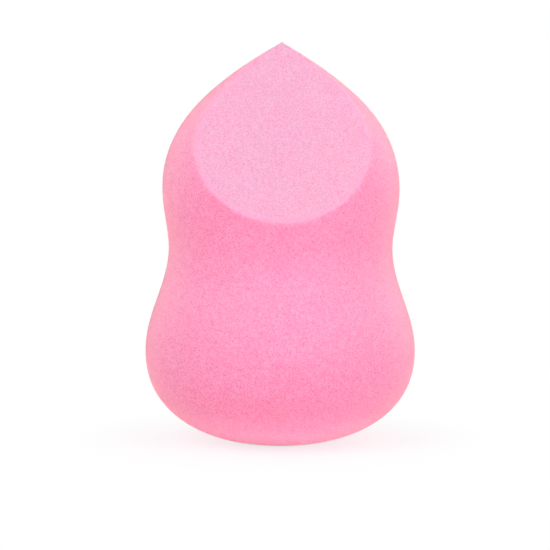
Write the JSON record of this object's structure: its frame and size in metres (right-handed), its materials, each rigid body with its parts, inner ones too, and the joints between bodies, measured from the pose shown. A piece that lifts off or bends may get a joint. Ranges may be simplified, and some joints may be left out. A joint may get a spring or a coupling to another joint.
{
  "type": "makeup sponge",
  "caption": "Gourd-shaped soft foam makeup sponge with a round belly, a waist, a pointed tip and one flat slanted bevel, for dabbing and blending makeup.",
  "frame": {"origin": "middle of the flat base that the sponge stands on", "axes": "+Z from the base up to the pointed tip, along the axis that the foam was ground about; the bevel faces -Y and up; +X is to the right of someone who faces the bevel"},
  "size_m": [0.0406, 0.0406, 0.06],
  "materials": {
    "foam": "matte"
  },
  "bodies": {
    "root": {"sponge_body": "foam"}
  },
  "joints": []
}
